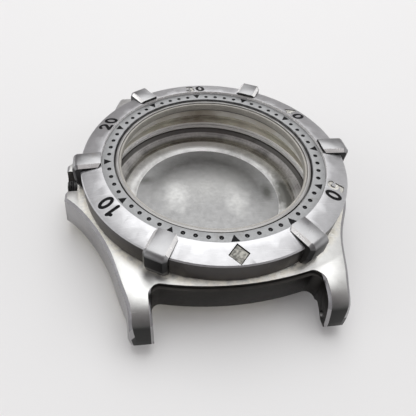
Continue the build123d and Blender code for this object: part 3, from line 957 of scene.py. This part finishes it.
    def place(self, matrix: Matrix) -> Workpiece:
        """Moves the mesh by a matrix.

        Args:
            matrix: the move, in millimetres.

        Returns:
            This piece.
        """
        self.take()
        self.thing.matrix_world = matrix
        bpy.ops.object.transform_apply(location=True, rotation=True, scale=True)
        return self

    def copy(self, name: str) -> Workpiece:
        """Makes a copy with its own mesh."""
        return Workpiece(add_object(name, self.thing.data.copy()))

    def join(self, others: Sequence[Workpiece]) -> Workpiece:
        """Joins other pieces into this one's mesh.

        Args:
            others: pieces that go into this one.

        Returns:
            This piece.
        """
        self.take()
        for other in others:
            other.thing.select_set(True)
        bpy.ops.object.join()
        return self

    def combine(self, tool: Workpiece, operation: str) -> None:
        """Joins another solid into this one with no wall between them, or cuts its shape out.

        Args:
            tool: the other solid, which is used up.
            operation: UNION or DIFFERENCE.
        """
        self.take()
        step = self.thing.modifiers.new("combine", "BOOLEAN")
        step.operation = operation
        step.solver = "EXACT"
        step.object = tool.thing
        bpy.ops.object.modifier_apply(modifier=step.name)
        tool.scrap()

    def round_edges(self, width: float, rule: EdgeRule, segments: int = 2,
                    sharper_than: float = 30.0) -> None:
        """Bevels the sharp edges whose middles a rule picks.

        Args:
            width: the bevel's width.
            rule: says of an edge's middle whether it is rounded.
            segments: number of strips of the bevel.
            sharper_than: least angle between the two faces, in degrees.
        """
        least = math.radians(sharper_than)
        with self.edit("DESELECT") as mesh:
            bpy.ops.mesh.select_mode(type="EDGE")
            for edge in mesh.edges:
                middle = (edge.verts[0].co + edge.verts[1].co) / 2
                if len(edge.link_faces) == 2 and edge.calc_face_angle() > least and rule(middle):
                    edge.select = True
            bmesh.update_edit_mesh(self.thing.data)
            bpy.ops.mesh.bevel(offset=width, segments=segments, affect="EDGES", clamp_overlap=True)

    def shade(self) -> None:
        """Shades blunt edges smooth and leaves the others sharp."""
        self.take()
        bpy.ops.object.shade_smooth_by_angle(angle=SMOOTH_UNDER)

    def weigh_normals(self, rule: EdgeRule) -> None:
        """Lets the largest faces round a corner set its shading.

        Args:
            rule: says of a corner's place whether it is changed.
        """
        self.shade()
        group = self.thing.vertex_groups.new(name="flat_shaded")
        group.add([v.index for v in self.thing.data.vertices if rule(v.co)], 1.0, "REPLACE")
        bpy.ops.object.modifier_add(type="WEIGHTED_NORMAL")
        weighing = self.thing.modifiers[-1]
        weighing.keep_sharp = True
        weighing.vertex_group = group.name
        bpy.ops.object.modifier_apply(modifier=weighing.name)
        self.thing.vertex_groups.clear()

    def dress(self, finishes: Finishes, *keys: str, rule: FaceRule | None = None) -> None:
        """Gives the piece its materials.

        Args:
            finishes: the shared materials.
            keys: keys of this piece's finishes; without a rule the first is used alone.
            rule: key of the finish for a face's centre and normal.
        """
        self.thing.data.materials.clear()
        for key in keys:
            self.thing.data.materials.append(finishes[key])
        for face in self.thing.data.polygons:
            face.material_index = keys.index(rule(face.center, face.normal)) if rule else 0

    def finish(self, body: Body, slot: str = "", *nodes: str, shaded: bool = False) -> None:
        """Shades the piece, brings it down to metres and hangs it on its body.

        Args:
            body: the body that it rides on.
            slot: not used.
            nodes: the CAD nodes that it stands for.
            shaded: says that its shading is already set.
        """
        if not shaded:
            self.shade()
        self.scale(METRES)
        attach(self.thing, body.value)
        if nodes:
            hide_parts(*nodes)
        LOG.info("%s rides on %s", self.thing.name, body.value)

    def complete(self, finishes: Finishes, key: str, body: Body, *names: str) -> None:
        """Dresses the piece in one finish, and finishes it on its body, hiding its nodes."""
        self.dress(finishes, key)
        self.finish(body, *names)


def polar(radius: float, degrees: float) -> Point:
    """Point at a radius and an angle counted clockwise from 12 o'clock."""
    angle = math.radians(degrees)
    return radius * math.sin(angle), radius * math.cos(angle)


def thread_wall(radius: float, low: float, high: float, pitch: float,
                fineness: int = 8) -> list[Point]:
    """Points up a straight wall, as many as fineness for each turn of its thread."""
    steps = round((high - low) / pitch * fineness)
    return [(radius, low + (high - low) * step / steps) for step in range(steps + 1)]


def bow(centre: Point, reach: Point, start: float, end: float, steps: int = 12) -> list[Point]:
    """Points along part of an ellipse, between two angles in degrees."""
    turns = [math.radians(start + (end - start) * step / steps) for step in range(steps + 1)]
    return [(centre[0] + reach[0] * math.cos(turn), centre[1] + reach[1] * math.sin(turn))
            for turn in turns]


WORN_NOUGHT = "worn 0"
# Strokes of the engraver's digits, as shares of their width and height. The paint of the worn
# nought is left at its sides only.
DIGIT_STROKES: dict[str, tuple[list[Point], ...]] = {
    "0": (bow((0.5, 0.5), (0.5, 0.5), 90, 450, 28),),
    "1": ([(0.66, 0.0), (0.66, 1.0)], [(0.66, 1.0), (0.45, 0.84), (0.24, 0.78)]),
    "2": (bow((0.5, 0.7), (0.46, 0.3), 165, -38), [(0.86, 0.515), (0.04, 0.0)],
          [(0.04, 0.0), (0.98, 0.0)]),
    "3": (bow((0.46, 0.75), (0.42, 0.25), 150, -90), bow((0.46, 0.26), (0.5, 0.26), 90, -150)),
    "4": ([(0.7, 1.0), (0.0, 0.3)], [(0.0, 0.3), (1.0, 0.3)], [(0.7, 1.0), (0.7, 0.0)]),
    "5": ([(0.9, 1.0), (0.16, 1.0)], [(0.16, 1.0), (0.08, 0.55)],
          bow((0.44, 0.32), (0.5, 0.32), 136, -150)),
    WORN_NOUGHT: (bow((0.5, 0.5), (0.5, 0.5), 130, 230, 8),
                  bow((0.5, 0.5), (0.5, 0.5), -50, 50, 8)),
}


# ---------------------------------------------------------------- the bezel


@dataclass
class BezelWork:
    """Turning bezel with its numerals, minute ring and marker filling, in millimetres."""

    finishes: Finishes
    radius: float = 18.0
    face_start: Point = (15.16, 9.88)
    face_end: Point = (18.0, 9.29)
    foot: float = 6.5
    edge: float = 0.12
    rider_half: float = 1.5
    rider_turn: float = 60.0
    numeral_radius: float = 16.4
    numeral_height: float = 2.2
    numeral_pitch: float = 1.66
    digit_width: float = 0.97
    stroke: float = 0.46
    numeral_depth: float = 0.12
    paint_sink: float = 0.03
    numerals: tuple[tuple[int, float], ...] = ((10, 59.4), (20, 120), (30, 180), (40, 240),
                                               (50, 300.5))
    bare_digits: tuple[tuple[int, int], ...] = ((50, 0), (40, 0), (30, 0))
    worn_noughts: tuple[int, ...] = (30,)
    marker_half: float = 1.35
    marker_radius: float = 16.58
    ring_inner: float = 13.5
    ring_outer: float = 15.15
    ring_foot: float = 8.95
    ring_top: float = 9.5
    mark_radius: float = 14.2
    dot_radius: float = 0.29
    dot_centre: float = 0.08
    triangle: Triple = (13.8, 14.82, 0.54)
    mark_depth: float = 0.1
    dot_steps: int = 16
    cutter_over: Point = (0.4, 0.3)
    small_edge: float = 0.05
    weighed_half: float = 6.0
    near: float = 0.02
    face_foot: float = 9.0
    rim_tilt: Point = (0.4, 0.985)
    rim_depth: float = 0.5
    engraved: Point = (0.04, 0.3)

    def build(self) -> None:
        """Makes all the bezel's pieces."""
        self._bezel()
        self._ring()
        self._filling()

    def _slope(self) -> float:
        """Fall of the sloped face for each millimetre outwards."""
        return (self.face_start[1] - self.face_end[1]) / (self.face_end[0] - self.face_start[0])

    def _face_height(self, radius: float) -> float:
        """Height of the sloped face at a radius."""
        return self.face_start[1] - self._slope() * (radius - self.face_start[0])

    def _on_face(self, radius: float, degrees: float) -> Matrix:
        """Matrix of a place on the sloped face, with Y outwards and Z off the face.

        Args:
            radius: distance from the case axis.
            degrees: angle, clockwise from 12 o'clock.

        Returns:
            The matrix.
        """
        x, y = polar(1.0, degrees)
        outwards = Vector((x, y, -self._slope())).normalized()
        right = Vector((y, -x, 0.0))
        turn = Matrix((right, outwards, right.cross(outwards))).transposed()
        spot = (x * radius, y * radius, self._face_height(radius))
        return Matrix.Translation(spot) @ turn.to_4x4()

    def _digit(self, digit: str, low: float, high: float) -> Workpiece:
        """One digit at the origin, as the solid that an engraving cutter sweeps.

        Args:
            digit: key of its strokes.
            low: height of the solid's foot.
            high: height of its top.

        Returns:
            The solid.
        """
        wide, tall = self.digit_width, self.numeral_height - self.stroke
        piece, *others = [
            Workpiece.stroke("stroke", [((x - 0.5) * wide, (y - 0.5) * tall) for x, y in line],
                             self.stroke / 2, low, high) for line in DIGIT_STROKES[digit]]
        for other in others:
            if digit == WORN_NOUGHT:
                piece.join([other])
            else:
                piece.combine(other, "UNION")
        return piece

    def _numerals(self, name: str, low: float, high: float, painted: bool) -> Workpiece:
        """The five numerals in their places, each digit modelled once and copied.

        Args:
            name: name of the joined piece.
            low: height of their foot off the sloped face.
            high: height of their top off the sloped face.
            painted: leaves out what has lost its paint.

        Returns:
            All the digits as one piece.
        """
        models: dict[str, Workpiece] = {}
        placed = []
        for number, degrees in self.numerals:
            for place, digit in enumerate(str(number)):
                if painted and (number, place) in self.bare_digits:
                    continue
                worn = painted and place == 1 and number in self.worn_noughts
                key = WORN_NOUGHT if worn else digit
                if key not in models:
                    models[key] = self._digit(key, low, high)
                spot = self._on_face(self.numeral_radius, degrees)
                aside = Matrix.Translation(((place - 0.5) * self.numeral_pitch, 0, 0))
                placed.append(models[key].copy(name).place(spot @ aside))
        for model in models.values():
            model.scrap()
        return placed[0].join(placed[1:])

    def _bezel(self) -> None:
        """The bezel, from the CAD solid, with engraved numerals and their paint."""
        piece = Workpiece.from_node("bezel", "bezel_body")
        piece.round_edges(self.edge, lambda p: p.z > self.foot - 0.1 and (
            math.hypot(p.x, p.y) > self.ring_outer - 0.05 and not self._at_marker(p)))
        piece.combine(self._numerals("numeral_cutters", -self.numeral_depth, self.cutter_over[0],
                                     painted=False), "DIFFERENCE")
        piece.dress(self.finishes, "bezel_face", "bezel_wall", "rider", "bezel_rim", "engraving",
                    "recess", rule=self._region)
        piece.weigh_normals(lambda p: abs(p.x) < self.weighed_half and p.y > self.face_start[0])
        piece.finish(Body.BEZEL, "bezel_steel", "bezel", shaded=True)
        paint = self._numerals("numeral_paint", -self.numeral_depth, -self.paint_sink, painted=True)
        paint.complete(self.finishes, "paint", Body.BEZEL)

    def _at_marker(self, spot: Vector) -> bool:
        """Says whether a place is within the lozenge marker."""
        return abs(spot.x) < self.marker_half and spot.y > self.face_start[0] and (
            abs(spot.y - self.marker_radius) < self.marker_half)

    def _region(self, centre: Vector, normal: Vector) -> str:
        """Names the finish of a face of the bezel.

        Args:
            centre: the face's centre.
            normal: the way it looks.

        Returns:
            The finish's key.
        """
        radius = math.hypot(centre.x, centre.y)
        turn = math.degrees(math.atan2(centre.y, centre.x)) % self.rider_turn
        across = radius * math.sin(math.radians(min(turn, self.rider_turn - turn)))
        under = self._face_height(radius) - centre.z
        # Rider faces; their sloped chamfers take the rim's painted highlight.
        if across < self.rider_half + self.near and (
                under < -self.paint_sink or radius > self.radius + self.near / 2):
            sloped = self.rim_tilt[0] < normal.z < self.rim_tilt[1] and radius < self.radius - 0.2
            return "bezel_rim" if sloped else "rider"
        # The inner edge of the face also takes the rim's painted highlight.
        if under < self.rim_depth and normal.z < LEVEL and (
                radius < self.face_start[0] + self.edge + self.near):
            return "bezel_rim"
        # The marker's recess walls and floor: painted shade.
        if self._at_marker(centre) and under > self.near and radius < self.radius - 0.15:
            return "recess"
        if self.engraved[0] < under < self.engraved[1] and normal.z > 0.5 and (
                radius < self.radius - 0.3):
            return "engraving"
        return "bezel_face" if normal.z > 0.3 and centre.z > self.face_foot else "bezel_wall"

    def _ring(self) -> None:
        """Flat ring with sunken minute marks, filled with paint."""
        ring = Workpiece.turned("minute_ring_body", (
            (self.ring_inner, self.ring_foot), (self.ring_outer, self.ring_foot),
            (self.ring_outer, self.ring_top), (self.ring_inner, self.ring_top)))
        ring.round_edges(self.small_edge, lambda p: p.z > self.ring_top - 0.1)
        foot = self.ring_top - self.mark_depth
        ring.combine(self._marks("mark_cutters", foot, self.ring_top + self.cutter_over[1],
                                 whole=True), "DIFFERENCE")
        ring.complete(self.finishes, "ring", Body.BEZEL, "ring_steel", "minute_ring")
        paint = self._marks("minute_mark_paint", foot, self.ring_top - self.near, whole=False)
        paint.complete(self.finishes, "paint", Body.BEZEL)

    def _marks(self, name: str, low: float, high: float, whole: bool) -> Workpiece:
        """The sixty minute marks: one dot and one triangle are modelled, and copied round.

        Args:
            name: name of the joined piece.
            low: height of their foot.
            high: height of their top.
            whole: full dots; otherwise dots with a bare centre, as their paint has.

        Returns:
            All the marks as one piece.
        """
        centre, half = (0.0, self.mark_radius), (self.dot_radius - self.dot_centre) / 2
        reach = self.dot_radius - half * (not whole)
        circle = bow(centre, (reach, reach), 0, 360, self.dot_steps)
        if whole:
            dot = Workpiece.plate("dot", circle[:-1], low, high)
        else:
            dot = Workpiece.stroke("dot", circle, half, low, high)
        apex, base, wide = self.triangle
        wedge = Workpiece.plate("wedge", ((0.0, apex), (wide, base), (-wide, base)), low, high)
        placed = []
        for minute in range(MINUTES):
            model = dot if minute % 5 else wedge
            turn = Matrix.Rotation(math.radians(-minute * 360 / MINUTES), 4, "Z")
            placed.append(model.copy(name).place(turn))
        dot.scrap()
        wedge.scrap()
        return placed[0].join(placed[1:])

    def _filling(self) -> None:
        """Worn filling of the lozenge marker."""
        piece = Workpiece.from_node("bezel_pip", "marker_filling")
        piece.round_edges(self.small_edge, lambda p: True)
        piece.complete(self.finishes, "filling", Body.BEZEL, "pip_filling", "bezel_pip")


# ---------------------------------------------------------------- the middle


@dataclass
class MiddleWork:
    """Middle of the case with its tube, gaskets, click spring and wire, in millimetres."""

    finishes: Finishes
    deck: float = 6.3
    neck_radius: float = 14.6
    gap_half: float = 10.0
    edge: float = 0.05
    gasket_edge: float = 0.06
    tube_foot: float = 16.85
    tube_height: float = 4.7
    tube_profile: tuple[Point, ...] = ((1.2, 2.01), (1.4, 2.03), (1.4, 2.29), (1.2, 2.31),
                                       (1.2, 2.45))
    tube_bore: float = 0.75
    tube_radius: float = 1.2
    tube_end: float = 3.5
    tube_steps: int = 48
    tube_thread: Triple = (0.25, 0.1, 3.4)
    wire: Triple = (14.625, 8.0, 0.25)
    wire_turn: float = 346.0
    seal: Triple = (14.37, 7.02, 0.25)
    deck_radius: float = 17.3
    neck_top: float = 8.3
    holder_radius: float = 12.6
    holder_height: float = 7.9
    cavity_radius: float = 15.4
    cavity_height: float = 8.0
    pale_above: float = 6.8
    wide_below: float = 3.8
    wider_by: float = 0.9
    thread_lip: tuple[Point, Point] = ((14.8, 15.1), (3.6, 3.97))
    lug_start: float = 17.0
    gap_floor: float = 19.0
    guard_half: float = 4.5

    def build(self) -> None:
        """Makes all the middle's pieces."""
        piece = Workpiece.from_node("mid_case", "middle_body")
        piece.round_edges(self.edge, self._outside, sharper_than=22)
        piece.dress(self.finishes, "deck", "bevel", "flank", "gap", "neck", "cavity", "lip",
                    "cavity_top", rule=self._region)
        piece.finish(Body.MIDDLE, "middle_steel", "mid_case")
        self._tube()
        gasket = Workpiece.from_node("crystal_gasket", "crystal_gasket_ring")
        gasket.round_edges(self.gasket_edge, lambda p: True)
        gasket.complete(self.finishes, "nylon", Body.MIDDLE, "gasket_nylon", "crystal_gasket")
        wire = Workpiece.round_ring("split_wire", *self.wire, turn=self.wire_turn)
        wire.complete(self.finishes, "spring", Body.MIDDLE, "spring_steel", "bezel_wire")
        seal = Workpiece.round_ring("bezel_seal_ring", *self.seal)
        seal.complete(self.finishes, "rubber", Body.MIDDLE, "seal_rubber", "bezel_gasket")
        spring = NODES["click_spring"].data.materials
        spring.clear()
        spring.append(self.finishes["spring"])

    def _tube(self) -> None:
        """Crown tube with its collar and the thread that the crown screws on."""
        pitch, depth, end = self.tube_thread
        start = self.tube_profile[-1][1]
        thread = thread_wall(self.tube_radius, start, end, pitch)[1:]
        profile = ((self.tube_bore, 0.0), (self.tube_radius, 0.0), *self.tube_profile, *thread,
                   (self.tube_radius - depth, self.tube_end), (self.tube_bore, self.tube_end))
        tube = Workpiece.turned("threaded_crown_tube", profile, self.tube_steps)
        tube.thread(self.tube_radius, start, end, pitch, depth)
        tube.place(Matrix.Translation((self.tube_foot, 0, self.tube_height))
                   @ Matrix.Rotation(math.radians(90), 4, "Y"))
        tube.complete(self.finishes, "tube", Body.MIDDLE, "tube_steel", "crown_tube")

    def _outside(self, middle: Vector) -> bool:
        """Says whether an edge lies on the outer form or on the neck's rim."""
        radius = math.hypot(middle.x, middle.y)
        return radius > self.deck_radius and middle.z < self.deck + 0.05 or (
            middle.z > self.neck_top + 0.3)

    def _region(self, centre: Vector, normal: Vector) -> str:
        """Names the finish of a face of the middle.

        Args:
            centre: the face's centre.
            normal: the way it looks.

        Returns:
            The finish's key.
        """
        radius, height, along = math.hypot(centre.x, centre.y), centre.z, abs(centre.y)
        if normal.z > LEVEL and abs(height - self.deck) < 0.02:
            return "deck"
        if normal.z > LEVEL and height > self.neck_top:
            return "neck"
        # The holder's seat and the thread lip take the lip's painted highlight.
        (inner, outer), (foot, top) = self.thread_lip
        if radius < self.holder_radius and height > self.holder_height or (
                inner < radius < outer and foot < height < top):
            return "lip"
        # The cavity wall below; its top band is the lighter copy, painted light near the opening.
        reach = self.cavity_radius + self.wider_by * (height < self.wide_below)
        if height < self.cavity_height and radius < reach:
            return "cavity_top" if height > self.pale_above else "cavity"
        if radius < self.neck_radius + 0.1 and height > self.deck - 0.1:
            return "neck"
        # Walls, ledge and floor between the lugs: painted shade.
        if abs(centre.x) < self.gap_half + 0.05 and along > self.lug_start and (
                abs(normal.z) < 0.2 or height < self.deck - 0.3 and along < self.gap_floor):
            return "gap"
        # Inward walls of the crown room: painted shade too.
        if centre.x > self.lug_start and along < self.guard_half and normal.y * centre.y < -0.5:
            return "gap"
        if normal.z > 0.85 or along > self.lug_start and abs(normal.x) < 0.45 and normal.z > -0.2:
            return "deck"
        return "bevel" if normal.z > 0.3 else "flank"


# ---------------------------------------------------------------- the back


@dataclass
class BackWork:
    """Screw back and its gasket, in millimetres."""

    finishes: Finishes
    boss_sides: int = 12
    boss_across: float = 27.4
    boss_height: float = 0.85
    boss_bevel: float = 0.15
    edge: float = 0.06
    edge_from: float = 16.85
    facets: int = 240
    rim_radius: float = 15.5
    outside_under: float = 0.88
    flange: tuple[Point, ...] = ((0.0, 0.85), (16.9, 0.85), (17.2, 1.15), (17.2, 1.95),
                                 (16.82, 1.95), (16.82, 1.36), (16.2, 1.36))
    thread_radius: float = 16.2
    thread: tuple[float, ...] = (2.0, 3.55, 0.5, 0.2)
    inside: tuple[Point, ...] = ((16.1, 3.65), (15.15, 3.65), (14.95, 3.45), (14.95, 3.0),
                                 (14.95, 2.7), (14.55, 2.25), (14.1, 1.87), (13.69, 1.61),
                                 (12.9, 1.44), (12.3, 1.37), (11.8, 1.27), (11.4, 1.13),
                                 (11.12, 0.98), (10.99, 0.9), (6.0, 0.84), (0.0, 0.78))
    # Bands of the inside by height; the lip band is a painted highlight and the corner band painted
    # shade.
    bands: tuple[tuple[float, str], ...] = ((3.4, "back_land"), (2.95, "lip"),
                                            (2.4, "back_corner"), (1.5, "back_slope"),
                                            (0.92, "back_land"))
    seal: Triple = (16.51, 1.67, 0.28)

    def build(self) -> None:
        """Makes the back's pieces."""
        low, high, pitch, depth = self.thread
        rim = thread_wall(self.thread_radius, low, high, pitch)
        piece = Workpiece.turned("back_body", (*self.flange, *rim, *self.inside), self.facets)
        piece.thread(self.thread_radius, low, high, pitch, depth)
        corner = self.boss_across / 2 / math.cos(math.pi / self.boss_sides)
        outline = [polar(corner, (side + 0.5) * 360 / self.boss_sides)
                   for side in range(self.boss_sides)]
        boss = Workpiece.plate("wrench_boss", outline, 0.0, self.boss_height + 0.02)
        boss.round_edges(self.boss_bevel, lambda p: p.z < 0.01, segments=3)
        piece.combine(boss, "UNION")
        piece.round_edges(self.edge, lambda p: p.z < self.thread[0] and (
            math.hypot(p.x, p.y) > self.edge_from))
        piece.dress(self.finishes, "back", "back_floor", "back_land", "back_slope", "back_corner",
                    "lip", rule=self._region)
        piece.finish(Body.BACK, "back_steel", "case_back")
        seal = Workpiece.round_ring("back_seal_ring", *self.seal)
        seal.complete(self.finishes, "rubber", Body.BACK_SEAL, "seal_rubber", "case_back_gasket")

    def _region(self, centre: Vector, normal: Vector) -> str:
        """Names the finish of a face of the back, by its centre and the way it looks."""
        if math.hypot(centre.x, centre.y) > self.rim_radius or (
                centre.z < self.outside_under and normal.z < 0.05):
            return "back"
        return next((key for height, key in self.bands if centre.z > height), "back_floor")


NODES: dict[str, Object] = {}


def main() -> None:
    """Builds the scene."""
    logging.basicConfig(level=logging.INFO, format="%(name)s: %(message)s")
    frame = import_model()
    NODES.update(frame["nodes"])
    Studio().build()
    finishes = Finishes()
    BezelWork(finishes).build()
    MiddleWork(finishes).build()
    BackWork(finishes).build()


if __name__ == "__main__":
    main()
